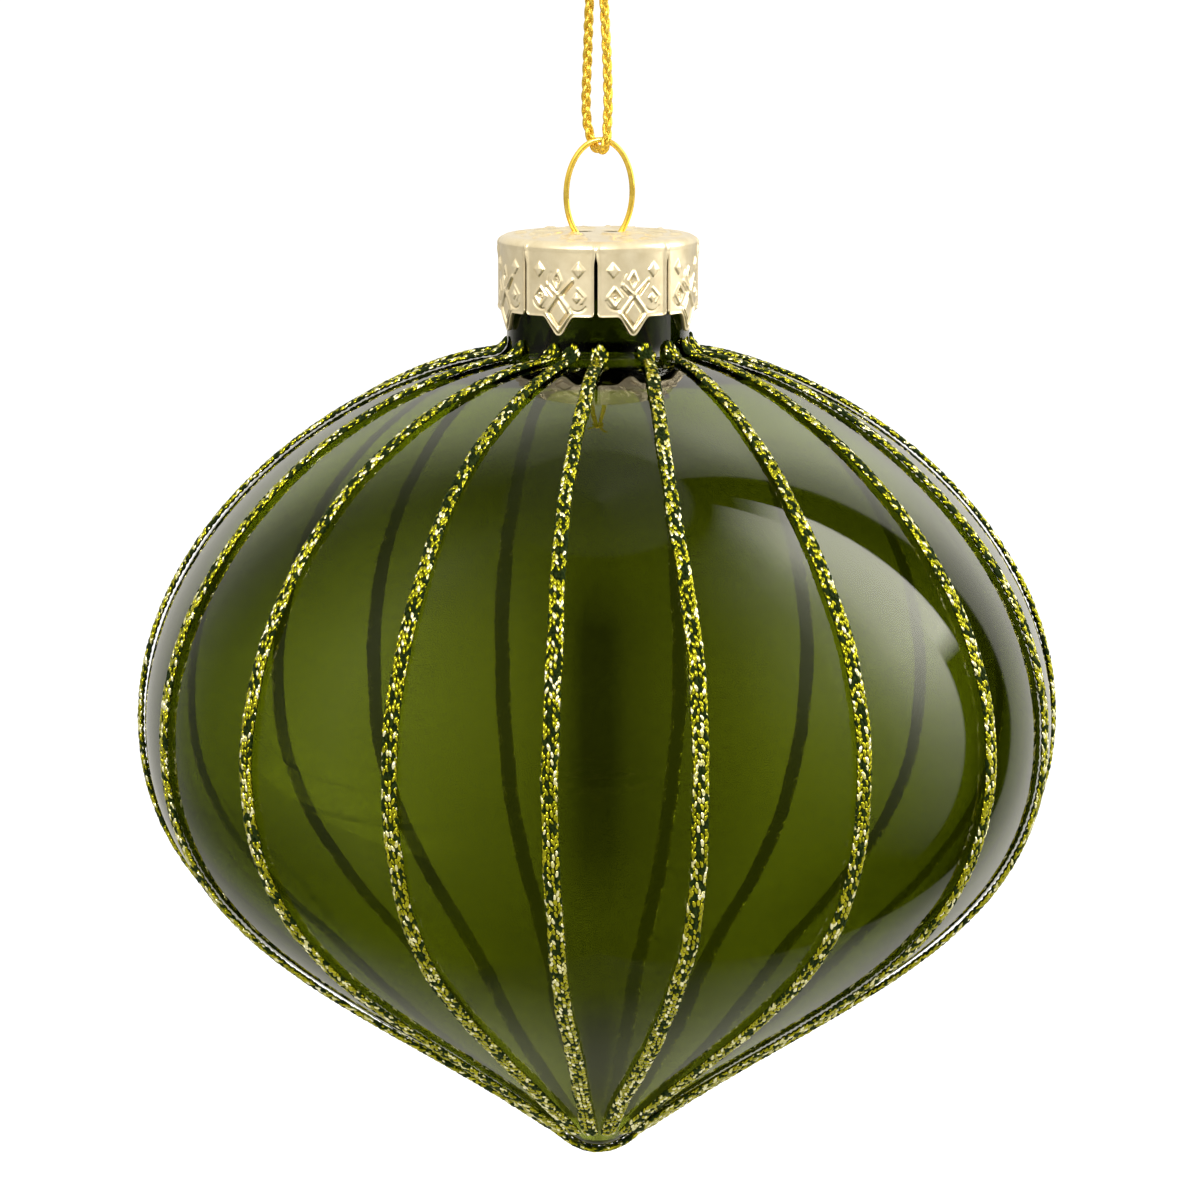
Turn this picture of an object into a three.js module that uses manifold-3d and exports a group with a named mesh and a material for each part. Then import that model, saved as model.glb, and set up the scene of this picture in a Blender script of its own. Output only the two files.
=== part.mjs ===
// An onion-shaped hanging bauble: a thin blown-glass body dressed with trim cords from neck to tip,
// a stamped metal cap with eight sprung tabs, a sprung wire hanger, and a loop of cord with its knot.
// Millimetres, +Z up, the front is -Y. The origin is the top of the cord's loop, where it hangs.
import * as THREE from 'three';
import { mergeVertices } from 'three/addons/utils/BufferGeometryUtils.js';
import Module from 'manifold-3d';

const wasm = await Module();
wasm.setup();

// Driving dimensions. Heights are measured from the glass body's widest ring, angles are in degrees.
const hangHeight = 66; // from the widest ring up to the top of the cord's loop

// Glass body
const bellyRadius = 38.95;
const bellyWall = 0.8;
const bellyRise = 16.3; // how long the wall keeps upright above the widest ring
const bellyDrop = 18.3; // and below it
const shoulderHeight = 31.65; // where the shoulder's line meets the neck
const shoulderSlope = 8.6;
const shoulderReach = 13.2; // how far the shoulder runs on before it rolls over
const tipDepth = 37.55;
const tipRadius = 3.9;
const tipSlope = 52.3; // between the lower flank and the axis
const tipReach = 21.5; // how far the flank runs straight above the tip
const neckRadius = 7.8;
const neckWall = 1.3;
const neckWallFade = 7; // the thick neck wall thins to the belly's over this distance
const neckLength = 9.1;
const neckFillet = 1.3;

// Cap
const capSheet = 0.35;
const capSkirt = 6; // height of the tabs, without their teeth
const capEdge = 0.8; // radius of the rounded top edge
const capTurn = -1.3; // how far the cap is turned on the neck
const tabCount = 8;
const slotWidth = 0.3;
const slotHeight = 5.1;
const toothLength = 1.7;
const toothBase = 2.5;
const toothPoint = 0.5; // width of the blunt point
const wireHoleRadius = 0.775;
const wireHoleOffset = 1.2; // of each hole from the axis

// Wire hanger
const wireRadius = 0.25;
const ringHalfWidth = 2.81;
const ringHalfHeight = 4.53;
const ringLean = 0.025; // sideways for each millimetre of height
const legDepth = 13.8; // how far the legs reach below the cap's top

// Trim cords
const trimWidth = 1.5;
const trimHeight = 0.75;
const trimTipRadius = 5.3; // where the cords crowd together near the tip
const trimDrift = 4; // a higher power holds the drift closer to the ends

// Hanging cord and knot
const cordDiameter = 0.75;
const knotRadius = 1.25;
const knotHeight = 2.6;

// Clearances
const capToNeck = 0.35;
const capToRim = 0.3;
const wireToHole = 0.225;
const wireToNeck = 0.35;
const trimToGlass = 0.3;
const knotToCord = 0.3;

// Each trim cord is glued by hand: its angle at the belly and at the neck, from the front, to the right.
// At the tip they crowd into an even ring. The first and the tenth are one cord, laid across the tip.
const trimAngles = [
  { belly: -89, neck: -80 },
  { belly: -68, neck: -55 },
  { belly: -47.3, neck: -27.5 },
  { belly: -25.4, neck: -15 },
  { belly: -5.6, neck: 1 },
  { belly: 12.2, neck: 30 },
  { belly: 33.4, neck: 49 },
  { belly: 55.8, neck: 67 },
  { belly: 73.8, neck: 82 },
  { belly: 92.9, neck: 97 },
  { belly: 112, neck: 115 },
  { belly: 131.2, neck: 131 },
  { belly: 150.6, neck: 147 },
  { belly: 168.9, neck: 171 },
  { belly: 193.2, neck: 190 },
  { belly: 212, neck: 214 },
  { belly: 228.4, neck: 229 },
  { belly: 249.7, neck: 252 },
];
const firstTipAngle = -90;
const crossingPartner = 9;

// The hanging cord's route: down behind the ring, under it, and up in front, at its real length.
const cordRoute = [
  [-0.5, 0.2, 66.2],
  [-0.56, 0.22, 65],
  [-0.64, 0.27, 63.4],
  [-0.73, 0.34, 61.6],
  [-0.83, 0.45, 59],
  [-0.91, 0.56, 56.5],
  [-1, 0.68, 54.2],
  [-1.02, 0.8, 52.5],
  [-0.9, 0.87, 51],
  [-0.62, 0.86, 49.9],
  [-0.25, 0.6, 49.1],
  [0.15, 0.02, 48.92],
  [0.52, -0.6, 49.1],
  [0.72, -0.85, 49.9],
  [0.77, -0.86, 51],
  [0.84, -0.8, 52.5],
  [0.83, -0.68, 54.2],
  [0.76, -0.56, 56.5],
  [0.64, -0.45, 59],
  [0.5, -0.34, 61.6],
  [0.44, -0.27, 63.4],
  [0.41, -0.22, 65],
  [0.4, -0.2, 66.2],
];

// The cord's two cut ends above the knot, from inside the knot outwards.
const tailRoutes = [
  [[-0.35, 0.1, 68.2], [-0.7, 0.2, 69.6], [-1.3, 0.4, 71], [-2.1, 0.5, 72.3]],
  [[0.35, -0.1, 68.2], [0.6, -0.3, 69.8], [1, -0.6, 71.2], [1.7, -0.8, 72.9]],
];

// Places that follow from the dimensions above
const rimHeight = shoulderHeight + neckLength;
const capTop = rimHeight + capToRim + capSheet;
const capInner = neckRadius + capToNeck;
const capOuter = capInner + capSheet;
const skirtBottom = capTop - capSkirt;
const waistHalf = wireHoleOffset + wireHoleRadius - wireRadius - wireToHole;
const legSpread = neckRadius - neckWall - wireRadius - wireToNeck;
const ringCentre = capTop + ringHalfHeight * Math.sqrt(1 - (waistHalf / ringHalfWidth) ** 2);
const tipPitch = 360 / trimAngles.length;

const cutterMargin = 1; // how far a cutter runs past what it cuts

// How finely the curves are cut into flats
const glassSides = 48;
const capSides = 64;
const trimSteps = 20;
const crossingSteps = 88; // fine enough for its bend under the tip
const wireSteps = 60;
const cordSteps = 56;

const radians = THREE.MathUtils.degToRad;

// Turns a profile of radius and height around the axis, with +Z up.
function turned(profile, sides) {
  const geometry = new THREE.LatheGeometry(profile, sides);
  geometry.rotateX(Math.PI / 2);
  return geometry;
}

// A round section with a given number of sides.
function roundSection(radius, sides) {
  const points = [];
  for (let i = 0; i < sides; i++) {
    const angle = (2 * Math.PI * i) / sides;
    points.push(new THREE.Vector2(radius * Math.cos(angle), radius * Math.sin(angle)));
  }
  return new THREE.Shape(points);
}

// A section carried along a smooth path through the given points.
function swept(section, points, steps) {
  const path = new THREE.CatmullRomCurve3(points, false, 'centripetal');
  return new THREE.ExtrudeGeometry(section, { steps, extrudePath: path, bevelEnabled: false });
}

function toSolid(geometry) {
  const bare = geometry.clone();
  bare.deleteAttribute('normal');
  bare.deleteAttribute('uv');
  const joined = mergeVertices(bare);
  return new wasm.Manifold(new wasm.Mesh({
    numProp: 3,
    vertProperties: Float32Array.from(joined.attributes.position.array),
    triVerts: Uint32Array.from(joined.index.array),
  }));
}

function toGeometry(solid) {
  const mesh = solid.getMesh();
  const geometry = new THREE.BufferGeometry();
  geometry.setAttribute('position', new THREE.BufferAttribute(mesh.vertProperties, 3));
  geometry.setIndex(new THREE.BufferAttribute(mesh.triVerts, 1));
  geometry.computeVertexNormals();
  return geometry;
}

// The glass outline as curves of radius and height, from the rim down to the tip.
function glassCurves() {
  const slope = radians(shoulderSlope);
  const flankAngle = radians(tipSlope);
  const alongShoulder = new THREE.Vector2(Math.cos(slope), -Math.sin(slope));
  const alongFlank = new THREE.Vector2(Math.sin(flankAngle), Math.cos(flankAngle));
  const rim = new THREE.Vector2(neckRadius, rimHeight);
  const corner = new THREE.Vector2(neckRadius, shoulderHeight);
  const filletTop = new THREE.Vector2(neckRadius, shoulderHeight + neckFillet);
  const filletFoot = corner.clone().addScaledVector(alongShoulder, neckFillet);
  const shoulder = filletFoot.clone().addScaledVector(alongShoulder, shoulderReach);
  const belly = new THREE.Vector2(bellyRadius, 0);
  const aboveBelly = new THREE.Vector2(bellyRadius, bellyRise);
  const belowBelly = new THREE.Vector2(bellyRadius, -bellyDrop);
  const tipCentre = tipRadius - tipDepth;
  const tipEdge = new THREE.Vector2(
    tipRadius * Math.cos(flankAngle),
    tipCentre - tipRadius * Math.sin(flankAngle),
  );
  const flank = tipEdge.clone().addScaledVector(alongFlank, tipReach);
  return {
    neck: new THREE.LineCurve(rim, filletTop),
    fillet: new THREE.QuadraticBezierCurve(filletTop, corner, filletFoot),
    upper: new THREE.CubicBezierCurve(filletFoot, shoulder, aboveBelly, belly),
    lower: new THREE.CubicBezierCurve(belly, belowBelly, flank, tipEdge),
    tip: new THREE.EllipseCurve(0, tipCentre, tipRadius, tipRadius, -flankAngle, -Math.PI / 2, true),
  };
}

const glass = glassCurves();

// Points along one curve, each moved outwards by a distance that may depend on its radius.
function offsetPoints(curve, count, distance, from = 0) {
  const points = [];
  for (let i = 0; i <= count; i++) {
    const t = from + ((1 - from) * i) / count;
    const point = curve.getPoint(t);
    const along = curve.getTangent(t);
    const out = new THREE.Vector2(-along.y, along.x);
    points.push(point.clone().addScaledVector(out, distance(point.x)));
  }
  return points;
}

// Joins runs of points whose ends meet.
function joinRuns(...runs) {
  return runs.reduce((all, run) => all.concat(all.length ? run.slice(1) : run), []);
}

function wallAt(radius) {
  const thinned = THREE.MathUtils.smoothstep(radius, neckRadius, neckRadius + neckWallFade);
  return THREE.MathUtils.lerp(neckWall, bellyWall, thinned);
}

// Blown glass, open at the neck: the outer outline down to the tip and the inner one back up.
function glassBody() {
  const onSurface = () => 0;
  const outer = joinRuns(
    offsetPoints(glass.neck, 1, onSurface),
    offsetPoints(glass.fillet, 4, onSurface),
    offsetPoints(glass.upper, 12, onSurface),
    offsetPoints(glass.lower, 11, onSurface),
    offsetPoints(glass.tip, 3, onSurface),
  );
  const inwards = (radius) => -wallAt(radius);
  const inner = joinRuns(
    offsetPoints(glass.neck, 1, inwards),
    offsetPoints(glass.fillet, 3, inwards),
    offsetPoints(glass.upper, 9, inwards),
    offsetPoints(glass.lower, 8, inwards),
    offsetPoints(glass.tip, 2, inwards),
  );
  outer[outer.length - 1].x = 0;
  inner[inner.length - 1].x = 0;
  return turned([...outer.reverse(), ...inner], glassSides);
}

// Stamped sheet cap: a turned shell with its tabs slotted, its teeth cut and two holes for the wire.
function crownCap() {
  const toothTip = skirtBottom - toothLength;
  const outerEdge = new THREE.EllipseCurve(
    capOuter - capEdge, capTop - capEdge, capEdge, capEdge, 0, Math.PI / 2,
  ).getPoints(4);
  const innerRadius = capEdge - capSheet;
  const innerEdge = new THREE.EllipseCurve(
    capInner - innerRadius, capTop - capEdge, innerRadius, innerRadius, 0, Math.PI / 2,
  ).getPoints(3);
  const profile = [
    new THREE.Vector2(capInner, toothTip),
    new THREE.Vector2(capOuter, toothTip),
    ...outerEdge,
    new THREE.Vector2(0, capTop),
    new THREE.Vector2(0, capTop - capSheet),
    ...innerEdge.reverse(),
    new THREE.Vector2(capInner, toothTip),
  ];
  let cap = toSolid(turned(profile, capSides));

  const pitch = (2 * Math.PI) / tabCount;
  const across = (halfArc) => capOuter * Math.sin(halfArc / capOuter);
  const halfTab = (capOuter * pitch) / 2;
  const gapTop = across(halfTab - toothBase / 2);
  const gapBottom = across(halfTab - toothPoint / 2);
  const slotTop = skirtBottom + slotHeight;
  const halfSlot = slotWidth / 2;
  const below = toothTip - cutterMargin;
  // The opening between two teeth, with the slot above it, seen from outside.
  const opening = new THREE.Shape([
    new THREE.Vector2(-gapBottom, below),
    new THREE.Vector2(gapBottom, below),
    new THREE.Vector2(gapBottom, toothTip),
    new THREE.Vector2(gapTop, skirtBottom),
    new THREE.Vector2(halfSlot, skirtBottom),
    new THREE.Vector2(halfSlot, slotTop),
    new THREE.Vector2(-halfSlot, slotTop),
    new THREE.Vector2(-halfSlot, skirtBottom),
    new THREE.Vector2(-gapTop, skirtBottom),
    new THREE.Vector2(-gapBottom, toothTip),
  ]);
  for (let i = 0; i < tabCount; i++) {
    const cutter = new THREE.ExtrudeGeometry(opening, { depth: capOuter, bevelEnabled: false });
    cutter.rotateX(Math.PI / 2);
    cutter.translate(0, -cutterMargin, 0);
    cutter.rotateZ(radians(capTurn) + i * pitch);
    cap = cap.subtract(toSolid(cutter));
  }
  for (const side of [-1, 1]) {
    const depth = 2 * (capSheet + cutterMargin);
    const drill = new THREE.CylinderGeometry(wireHoleRadius, wireHoleRadius, depth, 16);
    drill.rotateX(Math.PI / 2);
    drill.translate(side * wireHoleOffset, 0, capTop);
    cap = cap.subtract(toSolid(drill));
  }
  return toGeometry(cap);
}

// One bent wire: a leg, the ring above the cap, and the other leg, sprung apart inside the neck.
function hangerPoints() {
  const points = [];
  const legPointCount = 4;
  for (let i = 0; i < legPointCount; i++) {
    const t = i / legPointCount;
    const half = THREE.MathUtils.lerp(legSpread, waistHalf, t);
    points.push(new THREE.Vector3(-half, 0, capTop - legDepth * (1 - t)));
  }
  const waistAngle = Math.asin(waistHalf / ringHalfWidth);
  const ringPointCount = 18;
  for (let i = 0; i <= ringPointCount; i++) {
    const angle = waistAngle + ((2 * Math.PI - 2 * waistAngle) * i) / ringPointCount;
    const height = ringCentre - ringHalfHeight * Math.cos(angle);
    const lean = ringLean * (height - capTop);
    points.push(new THREE.Vector3(-ringHalfWidth * Math.sin(angle) + lean, 0, height));
  }
  for (let i = legPointCount - 1; i >= 0; i--) {
    points.push(new THREE.Vector3(-points[i].x, 0, points[i].z));
  }
  return points;
}

function hangerWire() {
  return swept(roundSection(wireRadius, 6), hangerPoints(), wireSteps);
}

// The route of a trim cord on its seat, from the neck's foot down to the tip or to where cords crowd.
function trimRun(reachesTip) {
  const seat = () => trimToGlass;
  const filletStart = 0.75; // the cord ends part way up the neck's fillet
  const run = joinRuns(
    offsetPoints(glass.fillet, 2, seat, filletStart),
    offsetPoints(glass.upper, 16, seat),
    offsetPoints(glass.lower, 24, seat),
  );
  if (reachesTip) {
    return joinRuns(run, offsetPoints(glass.tip, 6, seat));
  }
  const tail = run.findIndex((point) => point.y < 0 && point.x < trimTipRadius);
  const before = run[tail - 1];
  const share = (before.x - trimTipRadius) / (before.x - run[tail].x);
  return [...run.slice(0, tail), before.clone().lerp(run[tail], share)];
}

// How far a cord has turned from its belly angle at a given radius and height.
function trimAngle(angles, tipAngle, radius, height) {
  const end = height > 0 ? angles.neck : tipAngle;
  const endRadius = height > 0 ? neckRadius : 0;
  const reach = THREE.MathUtils.clamp((bellyRadius - radius) / (bellyRadius - endRadius), 0, 1);
  return angles.belly + (end - angles.belly) * reach ** trimDrift;
}

// A flat-bottomed cord laid in the plane of the axis and then turned to its place on the glass.
// The run goes down the right-hand side first, where a negative height in the section points outwards.
function trimCord(run, steps, angleOf) {
  const half = trimWidth / 2;
  const section = new THREE.Shape([
    new THREE.Vector2(-half, 0),
    new THREE.Vector2(half, 0),
    new THREE.Vector2(half, -trimHeight * 0.5),
    new THREE.Vector2(half * 0.5, -trimHeight),
    new THREE.Vector2(-half * 0.5, -trimHeight),
    new THREE.Vector2(-half, -trimHeight * 0.5),
  ]);
  const points = run.map((point) => new THREE.Vector3(point.x, 0, point.y));
  const geometry = swept(section, points, steps);
  const position = geometry.attributes.position;
  for (let i = 0; i < position.count; i++) {
    const x = position.getX(i);
    const y = position.getY(i);
    const turn = radians(angleOf(x, position.getZ(i)) - 90);
    position.setX(i, x * Math.cos(turn) - y * Math.sin(turn));
    position.setY(i, x * Math.sin(turn) + y * Math.cos(turn));
  }
  geometry.computeVertexNormals();
  return geometry;
}

function cordKnot() {
  const bottom = cordRoute[0][2] + knotToCord;
  const centre = bottom + knotHeight / 2;
  const body = [];
  const ringCount = 8;
  for (let i = 0; i <= ringCount; i++) {
    const angle = -Math.PI / 2 + (Math.PI * i) / ringCount;
    const radius = i === 0 || i === ringCount ? 0 : knotRadius * Math.cos(angle) ** 0.7;
    body.push(new THREE.Vector2(radius, centre + (knotHeight / 2) * Math.sin(angle)));
  }
  let knot = toSolid(turned(body, 16));
  for (const route of tailRoutes) {
    const points = route.map((place) => new THREE.Vector3(...place));
    knot = knot.add(toSolid(swept(roundSection(cordDiameter / 2, 8), points, 6)));
  }
  return toGeometry(knot);
}

const materials = {
  glass: new THREE.MeshStandardMaterial({ color: 0x4d5c0a, roughness: 0.05, metalness: 0 }),
  cap: new THREE.MeshStandardMaterial({ color: 0xdccfa5, roughness: 0.35, metalness: 0.9 }),
  wire: new THREE.MeshStandardMaterial({ color: 0xd8a520, roughness: 0.2, metalness: 1 }),
  cord: new THREE.MeshStandardMaterial({ color: 0xe0ab1e, roughness: 0.5, metalness: 0.5 }),
  trim: new THREE.MeshStandardMaterial({ color: 0x6e7a1e, roughness: 0.4, metalness: 0.4 }),
};

const bauble = new THREE.Group();
bauble.position.z = -hangHeight;

function addPiece(name, geometry, material) {
  const mesh = new THREE.Mesh(geometry, material.clone());
  mesh.name = name;
  bauble.add(mesh);
}

addPiece('glass_body', glassBody(), materials.glass);
addPiece('crown_cap', crownCap(), materials.cap);
addPiece('hanger_wire', hangerWire(), materials.wire);

const cordPoints = cordRoute.map((place) => new THREE.Vector3(...place));
addPiece('hanging_cord', swept(roundSection(cordDiameter / 2, 8), cordPoints, cordSteps), materials.cord);
addPiece('cord_knot', cordKnot(), materials.cord);

const shortRun = trimRun(false);
trimAngles.forEach((angles, i) => {
  const tipAngle = firstTipAngle + i * tipPitch;
  if (i % crossingPartner) {
    const name = `trim_cord_${String(i).padStart(2, '0')}`;
    const angleOf = (x, z) => trimAngle(angles, tipAngle, x, z);
    addPiece(name, trimCord(shortRun, trimSteps, angleOf), materials.trim);
  }
});

// The crossing cord runs down one side, under the tip and up the other side.
const longRun = trimRun(true);
const mirrored = longRun.map((point) => new THREE.Vector2(-point.x, point.y));
const crossing = joinRuns(longRun, mirrored.reverse());
const leftSide = trimAngles[0];
const rightSide = trimAngles[crossingPartner];
const crossingAngle = (x, z) => (x < 0
  ? trimAngle(leftSide, firstTipAngle, -x, z) + 180
  : trimAngle(rightSide, firstTipAngle + crossingPartner * tipPitch, x, z));
addPiece('trim_cord_across_tip', trimCord(crossing, crossingSteps, crossingAngle), materials.trim);

const part = new THREE.Group();
part.add(bauble);

export default part;
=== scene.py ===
"""The looks of an onion-shaped glass bauble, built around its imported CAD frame.

Shapes are worked out in millimetres, with heights measured from the glass's widest ring, as in the
part's source, and turned into metres by to_metres(). The front is -Y. Angles around the axis are in
degrees from the front, to the right. The stage, with its lamps and floor, is in metres.
"""

import math
import random

import bpy
import numpy as np
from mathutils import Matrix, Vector
from mathutils.geometry import delaunay_2d_cdt


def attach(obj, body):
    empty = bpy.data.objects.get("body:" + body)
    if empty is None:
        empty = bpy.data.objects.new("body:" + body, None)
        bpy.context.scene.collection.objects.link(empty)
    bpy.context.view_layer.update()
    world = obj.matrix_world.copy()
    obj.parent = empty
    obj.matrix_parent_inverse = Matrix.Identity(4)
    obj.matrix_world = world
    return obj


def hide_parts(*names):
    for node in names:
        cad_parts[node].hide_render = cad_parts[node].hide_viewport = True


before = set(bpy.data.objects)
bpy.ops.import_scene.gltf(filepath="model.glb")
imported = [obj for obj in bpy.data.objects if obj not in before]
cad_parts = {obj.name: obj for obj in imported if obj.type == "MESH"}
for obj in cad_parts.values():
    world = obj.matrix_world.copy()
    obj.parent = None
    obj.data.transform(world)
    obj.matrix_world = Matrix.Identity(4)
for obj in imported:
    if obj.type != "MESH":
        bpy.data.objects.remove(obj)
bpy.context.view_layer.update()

MM = 0.001
HANG_HEIGHT = 66.0
WHITE = (1, 1, 1, 1)
ROOM_COLOUR = (1.0, 0.975, 0.88, 1)

# Camera, from the photograph's perspective
CAMERA_PLACE = Vector((0.16, -558.2, 23.63)) * MM
CAMERA_TARGET = Vector((0.16, 0.0, -55.77)) * MM
CAMERA_LENS = 196.9
CAMERA_SENSOR = 36.0

# Floor, in metres from the glass's widest ring
FLOOR_SIZE = 12.0
FLOOR_HEIGHT = -0.15

# Glass body
BELLY_RADIUS = 38.95
BELLY_WALL = 0.8
BELLY_RISE = 16.3
BELLY_DROP = 18.3
SHOULDER_HEIGHT = 31.65
SHOULDER_SLOPE = 8.6
SHOULDER_REACH = 13.2
TIP_DEPTH = 37.55
TIP_RADIUS = 3.9
TIP_SLOPE = 52.3
TIP_REACH = 21.5
NECK_RADIUS = 7.8
NECK_WALL = 1.3
TIP_WALL = 0.45
NECK_WALL_FADE = 7.0
NECK_LENGTH = 9.1
NECK_FILLET = 1.3
RIM_HEIGHT = SHOULDER_HEIGHT + NECK_LENGTH

# Cap
CAP_TO_NECK = 0.35
CAP_TO_RIM = 0.3
CAP_SHEET = 0.35
CAP_SKIRT = 6.0
CAP_EDGE = 0.8
CAP_TURN = -1.3
TAB_COUNT = 8
SLOT_HEIGHT = 5.1
TOOTH_LENGTH = 1.7
TOOTH_BASE = 2.5
TOOTH_POINT = 0.5
WIRE_HOLE_RADIUS = 0.775
WIRE_HOLE_OFFSET = 1.2
CAP_TOP = RIM_HEIGHT + CAP_TO_RIM + CAP_SHEET
CAP_INNER = NECK_RADIUS + CAP_TO_NECK
CAP_OUTER = CAP_INNER + CAP_SHEET
SKIRT_BOTTOM = CAP_TOP - CAP_SKIRT
RIM_RISE = 0.35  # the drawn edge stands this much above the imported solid's plain one
DRAWN_TOP = CAP_TOP + RIM_RISE
SLOT_TOP = SKIRT_BOTTOM + SLOT_HEIGHT + RIM_RISE
HALF_TAB = CAP_OUTER * math.pi / TAB_COUNT
SLOT_HALF_GAP = 0.16
SLOT_CLOSING = 0.13  # how much each side of a slot closes towards its upper end
TOOTH_SHARE = 0.95
FACE_INSET = 0.1  # the stamped relief stands out from a face that lies this far in
RELIEF_SCALE = 1.3

# Wire hanger
WIRE_RADIUS = 0.25
WIRE_TO_HOLE = 0.225
WIRE_TO_NECK = 0.35
RING_HALF_WIDTH = 2.81
RING_HALF_HEIGHT = 4.53
RING_LEAN = 0.025
LEG_DEPTH = 13.8
WAIST_HALF = WIRE_HOLE_OFFSET + WIRE_HOLE_RADIUS - WIRE_RADIUS - WIRE_TO_HOLE
LEG_SPREAD = NECK_RADIUS - NECK_WALL - WIRE_RADIUS - WIRE_TO_NECK

# Trim cords: the angle of each at the belly and at the neck
TRIM_ANGLES = [
    (-89, -80), (-68, -55), (-47.3, -27.5), (-25.4, -15), (-5.6, 1), (12.2, 30),
    (33.4, 49), (55.8, 67), (73.8, 82), (92.9, 97), (112, 115), (131.2, 131),
    (150.6, 147), (168.9, 171), (193.2, 190), (212, 214), (228.4, 229), (249.7, 252),
]
TRIM_WIDTH = 1.46
TRIM_THICKNESS = 0.66
TRIM_GAP = 0.03  # between the cord and the glass, filled by glue
TRIM_TIP_RADIUS = 3.9
TRIM_DRIFT = 4
FIRST_TIP_ANGLE = -90
CROSSING_PARTNER = 9
TRIM_STEP = 0.25
TRIM_SWAY = (0.1, 23.0)  # how far a cord wanders to its sides, and in what length
TRIM_UNEVEN = (0.04, 9.0)  # by what share its width varies, and in what length
HEAD_SPREAD = (0.35, 0.6)  # how much wider its pressed head is, at least and at most
# Up to the first length from the neck a cord is drawn tight, and from the second on it lies at full size.
# Near the neck it also has fewer gold and glint stitches, as painted shade on the shoulder.
TIGHT_REACH = (20, 44)
TIGHT_WIDTH = 0.8
TIGHT_THICKNESS = 0.78
# Share of gold stitches kept at the neck: a darker cord there is painted shade
NECK_SHADE_GILT = 0.75

# Stitches of the trim cords
STITCH_COLUMNS = 11
STITCH_STEP = 0.6
STITCH_LENGTH = 0.66
STITCH_GIRTH = 0.34
STITCH_TILT = 16
STITCH_SPREAD = (0.035, 0.06, 7, 0.1)  # in place along the cord and round it, in tilt and in size
FACES_GLASS = -0.6  # a column whose outward cosine is lower lies hidden against the glass
FOIL, GREEN, GLINT = 0, 1, 2  # the yarns' numbers among a trim cord's materials
FOIL_SHARE = 0.52
# Share of pale glint stitches: real foil, whose light colour is also a painted highlight for the foil's
# glints
PAINTED_GLINT_SHARE = 0.2

# Hanging cord: down behind the ring, under it, and up in front
CORD_WIDTH = 0.85
CORD_THICKNESS = 0.7
CORD_STRANDS = 3
STRAND_WIDTH = 0.42
STRAND_FLATNESS = 0.8
STRAND_TURN = 3.57  # the length in which a strand comes back to its side
STRAND_SWELL = 0.05
STRAND_SWELL_LENGTH = 1.1
CORD_ROUTE = [
    (-0.5, 0.2, 66.2), (-0.56, 0.22, 65), (-0.64, 0.27, 63.4), (-0.73, 0.34, 61.6),
    (-0.83, 0.45, 59), (-0.91, 0.56, 56.5), (-1, 0.68, 54.2), (-1.02, 0.8, 52.5),
    (-0.9, 0.87, 51), (-0.62, 0.86, 49.9), (-0.25, 0.6, 49.1), (0.15, 0.02, 48.92),
    (0.52, -0.6, 49.1), (0.72, -0.85, 49.9), (0.77, -0.86, 51), (0.84, -0.8, 52.5),
    (0.83, -0.68, 54.2), (0.76, -0.56, 56.5), (0.64, -0.45, 59), (0.5, -0.34, 61.6),
    (0.44, -0.27, 63.4), (0.41, -0.22, 65), (0.4, -0.2, 66.2),
]
# The cord's two ends above it, from inside the strands up through the knot's wraps to the cuts
TAIL_ROUTES = [
    [
        (-0.5, 0.2, 65.9), (-0.42, 0.15, 66.5), (-0.2, 0.05, 67.5), (-0.35, 0.1, 68.4),
        (-0.7, 0.2, 69.6), (-1.3, 0.4, 71), (-2.1, 0.5, 72.3),
    ],
    [
        (0.4, -0.2, 65.9), (0.36, -0.15, 66.5), (0.2, -0.05, 67.5), (0.35, -0.1, 68.4),
        (0.6, -0.3, 69.8), (1, -0.6, 71.2), (1.7, -0.8, 72.9),
    ],
]
WRAP_FOOT = 66.85
WRAP_HEIGHT = 1.75
WRAP_TURNS = 2.2
WRAP_RADIUS = 0.72

random.seed(7)


def to_metres(points):
    """Rows of millimetres in the glass's frame as rows of metres in the row frame."""
    return (np.asarray(points, float) - (0, 0, HANG_HEIGHT)) * MM


def smoothstep(value, low, high):
    """0 up to low, 1 from high on, and a smooth rise between."""
    share = np.clip((np.asarray(value, float) - low) / (high - low), 0, 1)
    return share * share * (3 - 2 * share)


def add_object(name, data):
    """An object with the given data, in the scene."""
    piece = bpy.data.objects.new(name, data)
    bpy.context.scene.collection.objects.link(piece)
    return piece


def bell(offset, width):
    """1 where the offset is 0, and falling off smoothly over the width."""
    return np.exp(-((offset / width) ** 2))


def mesh_piece(name, points, faces, materials, face_slots=None):
    """A smooth-shaded mesh object from points in millimetres."""
    mesh = bpy.data.meshes.new(name)
    mesh.from_pydata(to_metres(points).tolist(), [], faces)
    for material in materials:
        mesh.materials.append(material)
    if face_slots is not None:
        mesh.polygons.foreach_set("material_index", face_slots)
    mesh.shade_smooth()
    mesh.validate()
    return add_object(name, mesh)


def grid_faces(grid):
    """The faces between neighbours in rows of point numbers. They face the other way if the grid
    is upside down or transposed."""
    return [
        (low[j], low[j + 1], high[j + 1], high[j])
        for low, high in zip(grid, grid[1:]) for j in range(len(low) - 1)
    ]


def closed(rings):
    """Rings of point numbers, each with its first number at its end again."""
    return [ring + ring[:1] for ring in rings]


# Node helpers


def new_material(name):
    """A material with nothing in its node tree but its output: (material, tree, output)."""
    material = bpy.data.materials.new(name)
    material.use_nodes = True
    tree = material.node_tree
    tree.nodes.clear()
    output = tree.nodes.new("ShaderNodeOutputMaterial")
    return material, tree, output


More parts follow.
